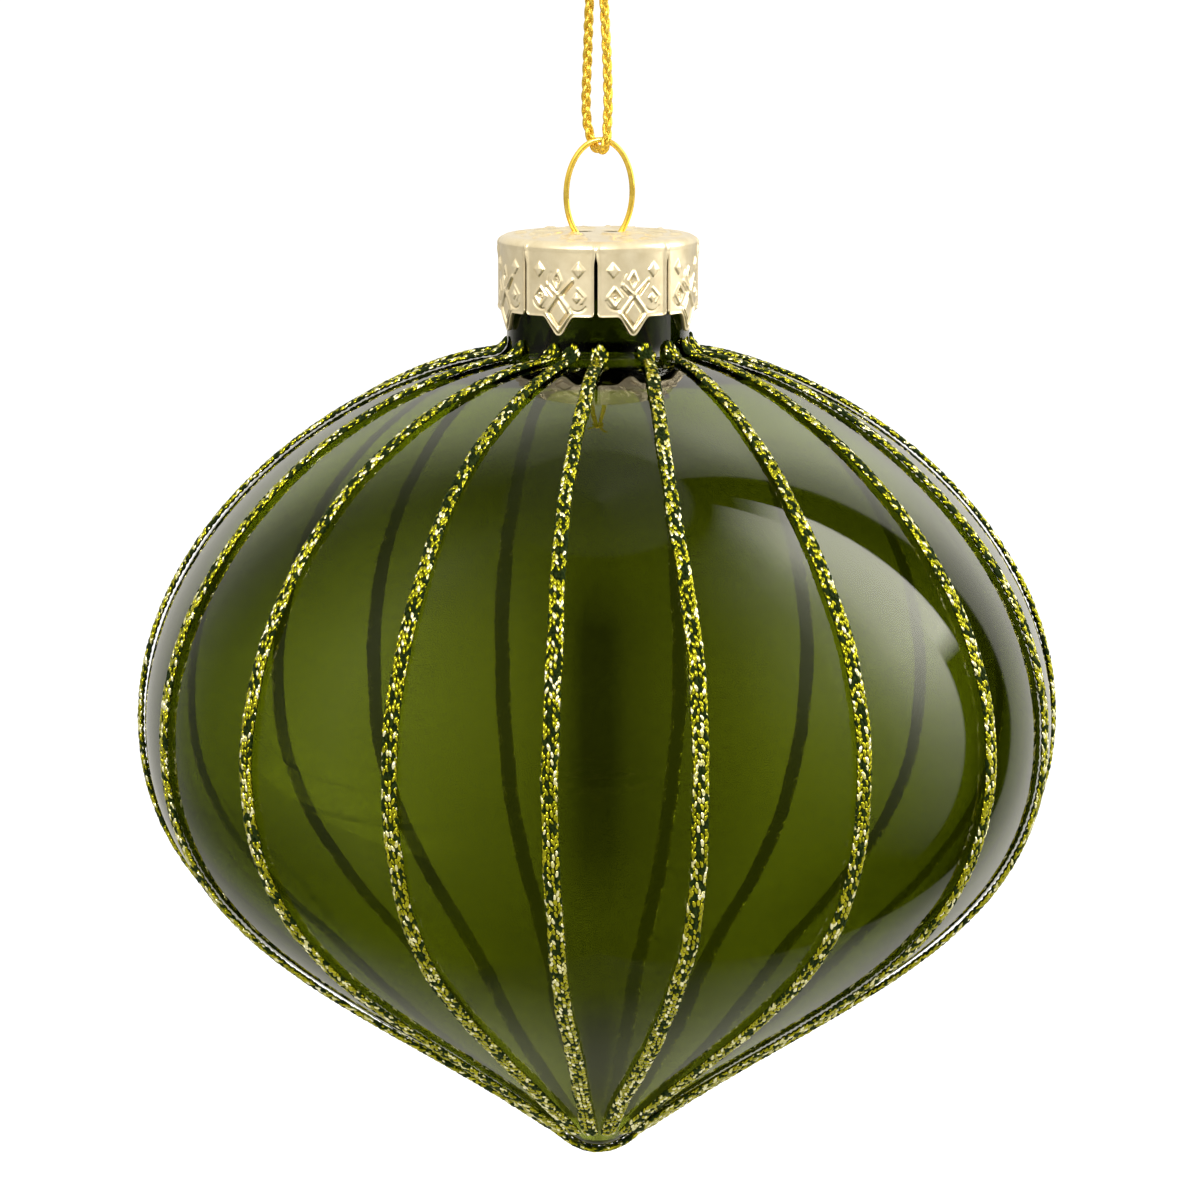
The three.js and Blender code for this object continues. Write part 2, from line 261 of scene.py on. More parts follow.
def add_node(tree, kind, inputs=(), **settings):
    """A node with its settings, and its inputs given as values or as sockets to link."""
    node = tree.nodes.new(kind)
    for key, value in settings.items():
        setattr(node, key, value)
    for key, value in dict(inputs).items():
        if isinstance(value, bpy.types.NodeSocket):
            tree.links.new(value, node.inputs[key])
        else:
            node.inputs[key].default_value = value
    return node


def math_node(tree, operation, *values):
    """The result of a sum, product or the like of values or sockets."""
    node = tree.nodes.new("ShaderNodeMath")
    node.operation = operation
    for i, value in enumerate(values):
        if isinstance(value, bpy.types.NodeSocket):
            tree.links.new(value, node.inputs[i])
        else:
            node.inputs[i].default_value = value
    return node.outputs[0]


def ramp(tree, factor, stops):
    """A colour ramp over factor, with stops of (position, colour)."""
    node = tree.nodes.new("ShaderNodeValToRGB")
    tree.links.new(factor, node.inputs[0])
    elements = node.color_ramp.elements
    while len(elements) < len(stops):
        elements.new(0.5)
    for element, (position, colour) in zip(elements, stops):
        element.position = position
        element.color = (*colour, 1)
    return node.outputs[0]


def mixed(tree, factor, first, second):
    """The first shader where the factor is 0, and the second where it is 1."""
    node = add_node(tree, "ShaderNodeMixShader", {"Fac": factor})
    tree.links.new(first.outputs[0], node.inputs[1])
    tree.links.new(second.outputs[0], node.inputs[2])
    return node


# Materials


def glass_material():
    """Clear olive glass: its colour is what its wall absorbs, and lamps shine through it."""
    material, tree, output = new_material("green_glass")
    surface = add_node(
        tree, "ShaderNodeBsdfPrincipled",
        {"Base Color": WHITE, "Roughness": 0.0, "IOR": 1.5, "Transmission Weight": 1.0},
    )
    see_through = add_node(tree, "ShaderNodeBsdfTransparent", {"Color": (0.96, 0.96, 0.96, 1)})
    light_path = tree.nodes.new("ShaderNodeLightPath")
    either = mixed(tree, light_path.outputs["Is Shadow Ray"], surface, see_through)
    absorbed = add_node(
        tree, "ShaderNodeVolumeAbsorption", {"Color": (0.565, 0.607, 0.0, 1), "Density": 3500.0}
    )
    tree.links.new(either.outputs[0], output.inputs["Surface"])
    tree.links.new(absorbed.outputs[0], output.inputs["Volume"])
    return material


def grained_material(name, scale, detail, tones, roughness, metallic, bump=None, harshness=0.5):
    """A material whose tone, gloss and fine relief follow one noise in the piece's own space.
    tones are two stops of (noise, colour), roughness its values where the noise is 0 and 1, and
    bump is a strength and a depth in metres. Returns it with its tree and its surface node."""
    material, tree, output = new_material(name)
    where = tree.nodes.new("ShaderNodeTexCoord")
    noise = add_node(
        tree, "ShaderNodeTexNoise",
        {"Vector": where.outputs["Object"], "Scale": scale, "Detail": detail, "Roughness": harshness},
    ).outputs[0]
    gloss = add_node(
        tree, "ShaderNodeMapRange", {"Value": noise, "To Min": roughness[0], "To Max": roughness[1]}
    )
    surface = add_node(
        tree, "ShaderNodeBsdfPrincipled",
        {"Base Color": ramp(tree, noise, tones), "Roughness": gloss.outputs[0], "Metallic": metallic},
    )
    if bump:
        relief = add_node(
            tree, "ShaderNodeBump", {"Height": noise, "Strength": bump[0], "Distance": bump[1]}
        )
        tree.links.new(relief.outputs[0], surface.inputs["Normal"])
    tree.links.new(surface.outputs[0], output.inputs["Surface"])
    return material, tree, surface


def cap_material():
    """Thin stamped sheet with a pale gold satin coating."""
    tones = [(0.3, (0.80, 0.66, 0.39)), (0.7, (0.90, 0.77, 0.50))]
    return grained_material(
        "cap_metal", 900.0, 4.0, tones, (0.26, 0.4), 0.9, bump=(0.12, 0.00005), harshness=0.6
    )[0]


def wire_material():
    """Bright gold-plated spring wire with faint drawing marks."""
    tones = [(0.3, (0.80, 0.52, 0.06)), (0.75, (0.93, 0.66, 0.12))]
    return grained_material("gold_wire", 2500.0, 3.0, tones, (0.12, 0.26), 1.0)[0]


def yarn_material(name, dark, light, metallic, roughness, grain, depth, painted_glow=0.0, specular=0.5):
    """Twisted yarn with a grain and a depth of relief in metres. The glow strength, if given, is painted
    light: an emission seen only across the glass, standing in for the light behind a loosely made cord
    that comes through it."""
    material, tree, surface = grained_material(
        name, 1 / grain, 2.0, [(0.35, dark), (0.65, light)], (roughness * 1.4, roughness * 0.6),
        metallic, bump=(0.8, depth),
    )
    surface.inputs["Specular IOR Level"].default_value = specular
    # Painted glow: emission seen across the glass in place of light coming through the loose braid
    if painted_glow:
        path = tree.nodes.new("ShaderNodeLightPath")
        across_glass = math_node(tree, "GREATER_THAN", path.outputs["Transmission Depth"], 2.5)
        surface.inputs["Emission Color"].default_value = WHITE
        strength = math_node(tree, "MULTIPLY", across_glass, painted_glow)
        tree.links.new(strength, surface.inputs["Emission Strength"])
    return material


# Glass outline, as in the part's source: points are (radius, height)


def glass_curves():
    """The outline's four stretches from the rim to the rounded tip, as Bezier control points."""
    slope = math.radians(SHOULDER_SLOPE)
    flank = math.radians(TIP_SLOPE)
    along_shoulder = Vector((math.cos(slope), -math.sin(slope)))
    along_flank = Vector((math.sin(flank), math.cos(flank)))
    corner = Vector((NECK_RADIUS, SHOULDER_HEIGHT))
    fillet_top = Vector((NECK_RADIUS, SHOULDER_HEIGHT + NECK_FILLET))
    fillet_foot = corner + along_shoulder * NECK_FILLET
    belly = Vector((BELLY_RADIUS, 0))
    tip_centre = TIP_RADIUS - TIP_DEPTH
    tip_edge = Vector((TIP_RADIUS * math.cos(flank), tip_centre - TIP_RADIUS * math.sin(flank)))
    return {
        "neck": [Vector((NECK_RADIUS, RIM_HEIGHT)), fillet_top],
        "fillet": [fillet_top, corner, fillet_foot],
        "upper": [
            fillet_foot, fillet_foot + along_shoulder * SHOULDER_REACH,
            Vector((BELLY_RADIUS, BELLY_RISE)), belly,
        ],
        "lower": [
            belly, Vector((BELLY_RADIUS, -BELLY_DROP)), tip_edge + along_flank * TIP_REACH, tip_edge,
        ],
    }


def bezier(points, share):
    """A point on a Bezier curve, and the unit normal to the left of its way. From the rim to the
    tip that is out of the glass."""
    row = list(points)
    while len(row) > 2:
        row = [a.lerp(b, share) for a, b in zip(row, row[1:])]
    along = (row[1] - row[0]).normalized()
    return row[0].lerp(row[1], share), Vector((-along.y, along.x))


def tip_arc(share):
    """A point on the rounded tip and its outward normal, from the flank's end to the axis."""
    start = -math.radians(TIP_SLOPE)
    angle = start + (-math.pi / 2 - start) * share
    out = Vector((math.cos(angle), math.sin(angle)))
    return Vector((0, TIP_RADIUS - TIP_DEPTH)) + out * TIP_RADIUS, out


def outline(stretches):
    """Points and normals along stretches of (name, count), without doubled joints."""
    curves = glass_curves()
    found = []
    for name, count in stretches:
        for i in range(1 if found else 0, count + 1):
            share = i / count
            found.append(tip_arc(share) if name == "tip" else bezier(curves[name], share))
    return found


def wall_at(point):
    """The wall's thickness at a point of the outline: thick at the neck, thinnest at the tip."""
    if point.y < 0:
        return BELLY_WALL + (TIP_WALL - BELLY_WALL) * float(smoothstep(-point.y, 14, TIP_DEPTH))
    thinned = float(smoothstep(point.x, NECK_RADIUS, NECK_RADIUS + NECK_WALL_FADE))
    return NECK_WALL + (BELLY_WALL - NECK_WALL) * thinned


def turned(profile, sides):
    """Points and faces of a profile of (radius, height) turned around the axis.
    It starts and ends on the axis, and runs so that its right-hand side faces out."""
    angles = 2 * np.pi * np.arange(sides) / sides
    points = [(0, 0, profile[0][1])]
    for radius, height in profile[1:-1]:
        ring = (radius * np.cos(angles), radius * np.sin(angles), np.full(sides, height))
        points.extend(np.column_stack(ring).tolist())
    points.append((0, 0, profile[-1][1]))
    last = len(points) - 1
    rings = closed(np.arange(1, last).reshape(-1, sides).tolist())
    faces = grid_faces(rings)
    for j in range(sides):
        faces.append((0, rings[0][j + 1], rings[0][j]))
        faces.append((last, rings[-1][j], rings[-1][j + 1]))
    return points, faces


def glass_body():
    """The blown glass: its outside, and its inside by the wall's thickness, as one closed shape."""
    outer = outline([("neck", 16), ("fillet", 12), ("upper", 90), ("lower", 90), ("tip", 12)])
    inner = outline([("neck", 16), ("fillet", 12), ("upper", 80), ("lower", 80), ("tip", 10)])
    outside = [tuple(point) for point, _ in outer]
    inside = [tuple(point - out * wall_at(point)) for point, out in inner]
    outside[-1] = (0, outside[-1][1])
    inside[-1] = (0, inside[-1][1])
    points, faces = turned(outside[::-1] + inside, 224)
    piece = mesh_piece("glass_body_blown", points, faces, [GLASS])
    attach(piece, "glass")
    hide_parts("glass_body")


# Paths, plait and knitting


def unit(rows):
    """The rows at length 1."""
    return rows / np.linalg.norm(rows, axis=1)[:, None]


def lengths_along(points):
    """The length of a path up to each of its points."""
    return np.concatenate([[0], np.cumsum(np.linalg.norm(np.diff(points, axis=0), axis=1))])


def path_frame(points, normals):
    """Unit tangents, sides and normals along a path, square to each other."""
    tangents = unit(np.gradient(points, axis=0))
    normals = unit(normals - tangents * np.sum(normals * tangents, 1)[:, None])
    return tangents, np.cross(tangents, normals), normals


def interpolated(places, lengths, rows):
    """Rows given at lengths, read at places in between."""
    return np.column_stack([np.interp(places, lengths, column) for column in rows.T])


def resampled(points, normals, step):
    """The path at an even step."""
    points, normals = np.asarray(points, float), np.asarray(normals, float)
    lengths = lengths_along(points)
    count = max(4, int(round(lengths[-1] / step)))
    places = np.linspace(0, lengths[-1], count + 1)
    return interpolated(places, lengths, points), interpolated(places, lengths, normals)


def tube(centre, up, wide, high, sides):
    """Points and faces of a closed tube along centre, wide across and high along up."""
    _, across, up = path_frame(centre, up)
    angles = 2 * np.pi * np.arange(sides) / sides
    rings = (
        centre[:, None, :]
        + np.cos(angles)[None, :, None] * (wide[:, None] * across)[:, None, :]
        + np.sin(angles)[None, :, None] * (high[:, None] * up)[:, None, :]
    )
    numbers = np.arange(len(centre) * sides).reshape(-1, sides).tolist()
    return rings.reshape(-1, 3), grid_faces(closed(numbers)) + [numbers[0][::-1], numbers[-1]]


def round_ends(lengths, reach):
    """1 along a cord, falling to 0 as a rounded end within reach of each end."""
    from_end = np.minimum(lengths, lengths[-1] - lengths)
    share = np.clip(1 - from_end / reach, 0, 1)
    return np.sqrt(np.clip(1 - share * share, 0, 1))


def wander(lengths, amplitude, wave):
    """A smooth random offset along a length: two sines of random phase near a wavelength."""
    first, second = random.uniform(0, 2 * math.pi), random.uniform(0, 2 * math.pi)
    slow = np.sin(2 * np.pi * lengths / wave + first)
    fast = np.sin(2 * np.pi * lengths / (wave * 0.37) + second)
    return amplitude * (0.65 * slow + 0.35 * fast)


def plait(centre, normals):
    """The strands of the hanging cord's flat plait along a path: (points, faces) of each."""
    _, across, up = path_frame(centre, normals)
    lengths = lengths_along(centre)
    made = []
    for i in range(CORD_STRANDS):
        phase = 2 * np.pi * (lengths / STRAND_TURN + i / CORD_STRANDS)
        side_step = np.sin(phase) * (CORD_WIDTH - STRAND_WIDTH) / 2
        lift = np.sin(phase * (CORD_STRANDS - 1)) * (CORD_THICKNESS - STRAND_WIDTH * STRAND_FLATNESS) / 2
        strand = centre + across * side_step[:, None] + up * lift[:, None]
        start = random.uniform(0, 2 * np.pi)
        bulge = 1 + STRAND_SWELL * np.sin(2 * np.pi * lengths / STRAND_SWELL_LENGTH + start)
        half = STRAND_WIDTH / 2 * bulge * np.maximum(round_ends(lengths, STRAND_WIDTH), 0.15)
        made.append(tube(strand, up, half, half * STRAND_FLATNESS, 10))
    return made


def grain_shape():
    """Points and faces of a unit grain: pointed at both ends along x, y across it and z up."""
    reaches = (-1, -0.82, -0.42, 0.0, 0.42, 0.82, 1)
    points, faces = turned([(math.sqrt(1 - reach * reach), reach) for reach in reaches], 6)
    return np.array(points)[:, [2, 0, 1]], faces


def knit(path, normals, width, thickness, shaded_gilt):
    """A flattened knitted tube: columns of slanting stitches side by side over a plain core.
    The gilt factor scales the shares of gold and pale glint stitches: the pale ones are painted
    highlights, and a low factor near the neck is painted shade. Returns the points and faces of the core,
    those of all the stitches, and the number of the yarn for each face of the stitches."""
    tangents, across, up = path_frame(path, normals)
    lengths = lengths_along(path)
    core = tube(
        path, up, np.maximum(width / 2 - STITCH_GIRTH * 0.42, 0.05),
        np.maximum(thickness / 2 - STITCH_GIRTH * 0.42, 0.05), 10,
    )
    shape, shape_faces = grain_shape()
    noise = np.random.default_rng(random.randrange(10**6))
    along_spread, round_spread, tilt_spread, size_spread = STITCH_SPREAD
    places, arounds, leans = [], [], []
    for column in range(STITCH_COLUMNS):
        angle = 2 * math.pi * (column + 0.5) / STITCH_COLUMNS
        if math.cos(angle) < FACES_GLASS:
            continue
        odd = column % 2
        at = np.arange(0.25 * STITCH_STEP, lengths[-1] - 0.2 * STITCH_STEP, STITCH_STEP)
        at = at + 0.5 * STITCH_STEP * odd + noise.normal(0, along_spread, len(at))
        arounds.append(angle + noise.normal(0, round_spread, len(at)))
        places.append(np.clip(at, 0.02, lengths[-1] - 0.02))
        tilt = STITCH_TILT if odd else -STITCH_TILT
        leans.append(np.radians(tilt + noise.normal(0, tilt_spread, len(at))))
    at, around, lean = np.concatenate(places), np.concatenate(arounds), np.concatenate(leans)
    side, rise, ahead, seat = (interpolated(at, lengths, rows) for rows in (across, up, tangents, path))
    half_wide = np.maximum(np.interp(at, lengths, width) / 2 - STITCH_GIRTH * 0.4, 0.04)
    half_high = np.maximum(np.interp(at, lengths, thickness) / 2 - STITCH_GIRTH * 0.4, 0.04)
    turn_sin, turn_cos = np.sin(around), np.cos(around)
    middle = seat + side * (half_wide * turn_sin)[:, None] + rise * (half_high * turn_cos)[:, None]
    out = unit(side * (turn_sin / half_wide)[:, None] + rise * (turn_cos / half_high)[:, None])
    along = ahead * np.cos(lean)[:, None] + np.cross(ahead, out) * np.sin(lean)[:, None]
    beside = np.cross(out, along)
    size = 1 + noise.normal(0, size_spread, len(at))
    grains = middle[:, None, :]
    for axis, (reach, way) in enumerate([
        (STITCH_LENGTH / 2, along), (STITCH_GIRTH / 2, beside), (STITCH_GIRTH * 0.4, out),
    ]):
        grains = grains + (reach * size)[:, None, None] * shape[None, :, axis, None] * way[:, None, :]
    offsets = len(shape) * np.arange(len(at))
    faces = [tuple(v + int(offset) for v in face) for offset in offsets for face in shape_faces]
    choice = noise.random(len(at))
    # Where the gilt factor is low, fewer gold stitches show: painted shade near the neck
    share = np.interp(at, lengths, shaded_gilt)
    # Pale glint stitches stand in for the foil's glints, as painted highlights
    painted_glints = choice > 1 - PAINTED_GLINT_SHARE * share
    kinds = np.where(choice < FOIL_SHARE * share, FOIL, np.where(painted_glints, GLINT, GREEN))
    slots = [int(kind) for kind in kinds for _ in shape_faces]
    return core, (grains.reshape(-1, 3), faces), slots


def joined(parts):
    """One list of points and faces from several."""
    points, faces = [], []
    for some_points, some_faces in parts:
        offset = len(points)
        points.extend(np.asarray(some_points).tolist())
        faces.extend([[v + offset for v in face] for face in some_faces])
    return points, faces


# Trim cords


def trim_angle(cord, radius, height):
    """How far round the glass a cord lies at a radius and height."""
    belly, neck = TRIM_ANGLES[cord]
    tip = FIRST_TIP_ANGLE + cord * 360 / len(TRIM_ANGLES)
    end, end_radius = (neck, NECK_RADIUS) if height > 0 else (tip, 0)
    reach = min(max((BELLY_RADIUS - radius) / (BELLY_RADIUS - end_radius), 0), 1)
    return belly + (end - belly) * reach ** TRIM_DRIFT


def laid_on_glass(run, cord):
    """A run of (point, normal) of the outline as the points and normals of a cord's middle line."""
    points, normals = [], []
    for point, out in run:
        seat = point + out * (TRIM_GAP + TRIM_THICKNESS / 2)
        angle = math.radians(trim_angle(cord, point.x, point.y))
        ahead = (math.sin(angle), -math.cos(angle))
        points.append((seat.x * ahead[0], seat.x * ahead[1], seat.y))
        normals.append((out.x * ahead[0], out.x * ahead[1], out.y))
    return points, normals


def trim_run(to_tip):
    """The outline under a cord, from the top of the neck's fillet to near the tip or to it."""
    stretches = [("fillet", 12), ("upper", 120), ("lower", 160)]
    if to_tip:
        return outline(stretches + [("tip", 20)])
    return [(point, out) for point, out in outline(stretches) if point.y > 0 or point.x > TRIM_TIP_RADIUS]


def trim_cord(name, points, normals, node, both_at_neck=False):
    """One knitted cord. Its cut end at the neck is pressed into a wider head."""
    points, normals = resampled(points, normals, TRIM_STEP)
    _, across, _ = path_frame(points, normals)
    lengths = lengths_along(points)
    points = points + across * (wander(lengths, *TRIM_SWAY) * round_ends(lengths, 8.0))[:, None]
    from_neck = np.minimum(lengths, lengths[-1] - lengths) if both_at_neck else lengths
    spread = random.uniform(*HEAD_SPREAD)
    head = 1 + spread * bell(from_neck - 0.8, 0.6) - 0.1 * bell(from_neck - 2.4, 0.9)
    uneven = 1 + wander(lengths, *TRIM_UNEVEN)
    ends = round_ends(lengths, 0.75)
    relaxed = smoothstep(from_neck, *TIGHT_REACH)

    def eased(tight):
        """From its value near the neck to 1 further down."""
        return tight + (1 - tight) * relaxed

    width = np.maximum(TRIM_WIDTH * ends * head * uneven * eased(TIGHT_WIDTH), 0.3)
    thickness = np.maximum(TRIM_THICKNESS * ends * (0.4 + head * 0.6) * eased(TIGHT_THICKNESS), 0.3)
    points = points - normals * ((TRIM_THICKNESS - thickness) / 2)[:, None]
    # The eased gilt factor darkens the cord near the neck, as painted shade
    core, stitches, slots = knit(points, normals, width, thickness, eased(NECK_SHADE_GILT))
    slots = [GREEN] * len(core[1]) + slots
    points, faces = joined([core, stitches])
    piece = mesh_piece(name, points, faces, [FOIL_YARN, GREEN_YARN, PAINTED_GLINT_YARN], slots)
    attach(piece, "glass")
    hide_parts(node)


def trim_cords():
    """The single cords, and the one at the far left and right that crosses under the tip."""
    short_run, long_run = trim_run(False), trim_run(True)
    for cord in range(len(TRIM_ANGLES)):
        if cord % CROSSING_PARTNER:
            laid = laid_on_glass(short_run, cord)
            trim_cord(f"trim_braid_{cord:02d}", *laid, f"trim_cord_{cord:02d}")
    down, down_out = laid_on_glass(long_run, 0)
    up, up_out = laid_on_glass(long_run, CROSSING_PARTNER)
    points = down + up[::-1][1:]
    normals = down_out + up_out[::-1][1:]
    trim_cord("trim_braid_across_tip", points, normals, "trim_cord_across_tip", both_at_neck=True)


# Cap


def distance_to_line(u, v, line):
    """The distance of each (u, v) from a line of points."""
    nearest = np.full(u.shape, 1e9)
    for (x0, y0), (x1, y1) in zip(line, line[1:]):
        dx, dy = x1 - x0, y1 - y0
        share = np.clip(((u - x0) * dx + (v - y0) * dy) / (dx * dx + dy * dy), 0, 1)
        nearest = np.minimum(nearest, np.hypot(u - x0 - share * dx, v - y0 - share * dy))
    return nearest


def stroke(u, v, line, width, height):
    """A ridge of a given half width along a line, or a groove if height is below 0."""
    return height * bell(distance_to_line(u, v, line), width)


def rhombus(x, y, half_width, half_height):
    """A rhombus as a closed line from its upper corner."""
    corners = [(0, 1), (1, 0), (0, -1), (-1, 0), (0, 1)]
    return [(x + dx * half_width, y + dy * half_height) for dx, dy in corners]


def arc(x, y, radius, start, end, steps=14, shrink=0, stretch=1):
    """Points of an arc, with its angles in degrees. Its radius may shrink along it by a share, and
    its height may be stretched."""
    points = []
    for i in range(steps + 1):
        angle = math.radians(start + (end - start) * i / steps)
        reach = radius * (1 - shrink * i / steps)
        points.append((x + reach * math.cos(angle), y + stretch * reach * math.sin(angle)))
    return points


def hook(x, y, size, start):
    """A short spiral that winds in, from an angle in degrees."""
    return arc(x, y, size, start, start - 400, steps=20, shrink=0.8, stretch=1.25)


def boss(u, v, x, y, half_width, half_height, height):
    """A raised rhombus with a soft ridge."""
    inside = 1 - np.abs(u - x) / half_width - np.abs(v - y) / half_height
    return height * (0.6 * smoothstep(inside, -0.05, 0.3) + 0.4 * smoothstep(inside, 0.1, 1))


def tab_relief(u, v):
    """The stamped pattern of a tab, in millimetres outwards. v is measured up from its lower edge."""
    ridge, groove = 0.1, 0.075
    # The rhombus on the tooth, and the four arms that cross above it
    strokes = [
        (rhombus(0, 0.3, 1.2, 1.55), 0.13, 0.1),
        (rhombus(0, 0.32, 0.86, 1.14), groove, -0.13),
        ([(0.1, 1.95), (1.3, 3.15)], 0.12, 0.1),
        ([(0.5, 1.85), (1.34, 2.85)], groove, -0.16),
        ([(-0.1, 1.95), (-1.0, 2.75)], 0.12, 0.11),
        ([(-0.45, 1.75), (-1.15, 2.45)], groove, -0.08),
    ]
    # The leaf with a curl in the middle
    strokes += [
        ([(-0.05, 3.85), (-0.5, 3.1), (-0.08, 2.3), (0.3, 3.0), (-0.05, 3.85)], ridge, 0.11),
        (hook(-0.1, 3.05, 0.24, 100), 0.07, -0.11),
        (arc(-0.1, 3.05, 0.9, 130, 225), groove, -0.07),
    ]
    # The curled rhombus at the left, and the hook round the plain one at the right
    strokes += [
        (rhombus(-1.7, 1.7, 0.6, 0.8), ridge, 0.11),
        (hook(-1.66, 1.66, 0.3, 120), 0.07, -0.12),
        (arc(-1.55, 1.55, 0.95, 190, 285), groove, -0.07),
        ([(1.75, 2.4), (2.4, 1.7), (2.1, 1.2)], ridge, 0.1),
        (arc(1.75, 1.25, 0.8, 215, 330), groove, -0.08),
    ]
    # The raised rhombi: the plain one, and one in each upper corner
    bosses = [
        (1.68, 1.6, 0.42, 0.5, 0.13), (-1.84, 3.96, 0.62, 0.74, 0.17), (1.84, 3.96, 0.62, 0.74, 0.17),
    ]
    return sum(stroke(u, v, *mark) for mark in strokes) + sum(boss(u, v, *mark) for mark in bosses)


def tooth_depth(u):
    """How far below the skirt a tab reaches at u, with a rounded tooth."""
    half_base, half_point = TOOTH_BASE / 2, TOOTH_POINT / 2
    offsets = np.linspace(-0.2, 0.2, 9)
    shares = [(half_base - np.abs(u + offset)) / (half_base - half_point) for offset in offsets]
    return TOOTH_LENGTH * TOOTH_SHARE * np.mean(np.clip(shares, 0, 1), axis=0)


def lip_and_pinch(from_edge, height):
    """The rolled lips along a slot, and the sheet pinched together over the slot's upper end."""
    pinch = 0.1 * bell(from_edge, 0.26) * bell(height - SLOT_TOP + 0.3, 0.5)
    return 0.13 * bell(from_edge, 0.16) + pinch


def tab_grid(columns, rows):
    """(u, height, outward) of one tab's outer face: arc length from its middle, height above the
    widest ring, and its distance from the axis."""
    corner = 0.3
    across, up = np.meshgrid(np.linspace(-1, 1, columns), np.linspace(0, 1, rows))
    half_gap = SLOT_HALF_GAP - SLOT_CLOSING * smoothstep(up, 0.78, 0.97)
    u = across * (HALF_TAB - half_gap)
    from_edge = (HALF_TAB - half_gap) - np.abs(u)
    rounding = corner - np.sqrt(corner**2 - np.clip(corner - from_edge, 0, corner) ** 2)
    bottom = SKIRT_BOTTOM - tooth_depth(u) + rounding
    height = bottom + (SLOT_TOP - bottom) * up
    rolled = 0.05 * bell(height - bottom, 0.12)
    inward = 0.18 * smoothstep(SKIRT_BOTTOM - height, 0.0, TOOTH_LENGTH)
    relief = tab_relief(u, height - SKIRT_BOTTOM) * RELIEF_SCALE
    outward = CAP_OUTER - FACE_INSET + relief + lip_and_pinch(from_edge, height) + rolled - inward
    return u, height, outward


def add_grid(points, radius, angle, height):
    """Adds a grid of points around the axis, and returns the grid of their numbers."""
    first = len(points)
    points.extend(zip(
        (radius * np.sin(angle)).ravel(), (-radius * np.cos(angle)).ravel(), height.ravel(),
    ))
    return np.arange(first, len(points)).reshape(height.shape)


def crown_cap():
    """The stamped cap: tab by tab a fine outer face and a coarser inner one, the rounded edge over
    them, and the disc on top."""
    fine = 3  # outer faces to each inner face, along a side
    columns, rows = 28 * fine + 1, 31 * fine + 1
    u, height, outward = tab_grid(columns, rows)
    points, faces = [], []
    outer_loop, inner_loop = [], []
    for tab in range(TAB_COUNT):
        middle = math.radians(CAP_TURN + (tab + 0.5) * 360 / TAB_COUNT)
        angles = middle + u / CAP_OUTER
        inner_radius = np.minimum(outward - CAP_SHEET, CAP_INNER + 0.05)
        outside = add_grid(points, outward, angles, height)
        inside = add_grid(points, *(sheet[::fine, ::fine] for sheet in (inner_radius, angles, height)))
        faces += grid_faces(outside) + grid_faces(inside.T)
        for i in range(len(inside) - 1):
            span = outside[i * fine : (i + 1) * fine + 1]
            faces.append((*span[:, 0], inside[i + 1, 0], inside[i, 0]))
            faces.append((*span[::-1, -1], inside[i, -1], inside[i + 1, -1]))
        for j in range(len(inside[0]) - 1):
            span = outside[0, j * fine : (j + 1) * fine + 1]
            faces.append((*span[::-1], inside[0, j], inside[0, j + 1]))
        outer_loop.extend(outside[-1])
        inner_loop.extend(inside[-1])

    # The slot's upper end, between one tab and the next
    inner_columns = len(inner_loop) // TAB_COUNT
    for tab in range(TAB_COUNT):
        after = (tab + 1) % TAB_COUNT
        faces.append((
            outer_loop[(tab + 1) * columns - 1], inner_loop[(tab + 1) * inner_columns - 1],
            inner_loop[after * inner_columns], outer_loop[after * columns],
        ))

    def edge_rings(loop, radius, bend, rows, creased):
        """The loop, and rings of points from it over the rounded edge, up to the flat top."""
        rings = [loop]
        for i in range(1, rows + 1):
            turn = math.pi / 2 * i / rows
            z = DRAWN_TOP - CAP_EDGE + bend * math.sin(turn)
            fade = 1 - float(smoothstep(turn, 0.35, 1.25))
            rings.append(list(range(len(points), len(points) + len(loop))))
            for index in loop:
                x, y, _ = points[index]
                angle = math.atan2(x, -y)
                share = (math.degrees(angle) - CAP_TURN) / 360 * TAB_COUNT % 1
                from_slot = min(share, 1 - share) * 2 * HALF_TAB
                lift = float(lip_and_pinch(from_slot - 0.03, z)) * fade if creased else 0
                crease = 0.12 * bell(from_slot, 0.05) * fade if creased else 0
                reach = radius - bend + (bend + lift - crease) * math.cos(turn)
                top = z + (lift - crease) * math.sin(turn)
                points.append((reach * math.sin(angle), -reach * math.cos(angle), top))
        return rings

    outer = edge_rings(outer_loop, CAP_OUTER, CAP_EDGE, 9, True)
    inner = edge_rings(inner_loop, CAP_INNER, CAP_EDGE - CAP_SHEET, 4, False)
    faces += grid_faces(closed(outer)) + grid_faces(closed(inner[::-1]))
    cap_top_disc(points, faces, outer[-1], inner[-1])
    faces = [tuple(int(index) for index in face) for face in faces]
    piece = mesh_piece("crown_cap_stamped", points, faces, [CAP_METAL])
    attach(piece, "cap")
    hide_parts("crown_cap")


def top_relief(x, y):
    """The low dome of the cap's top and the shallow scrolls stamped in it."""
    depth = 0.3 * (1 - smoothstep(np.hypot(x, y), 0.5, CAP_OUTER - CAP_EDGE))
    for i in range(8):
        turn = math.radians(22.5 + 45 * i)
        u = x * math.cos(turn) + y * math.sin(turn)
        v = -x * math.sin(turn) + y * math.cos(turn)
        for line, width, height in (
            (hook(5.3, 0.1, 1.0, -60), 0.17, 0.2),
            ([(2.9, -0.8), (3.5, 0.1), (4.2, 0.4)], 0.17, 0.18),
            ([(6.2, 1.5), (6.7, 2.0)], 0.2, 0.2),
            ([(6.6, -0.9), (7.0, 0.6)], 0.15, -0.14),
        ):
            depth += stroke(u, v, line, width, height)
    return depth


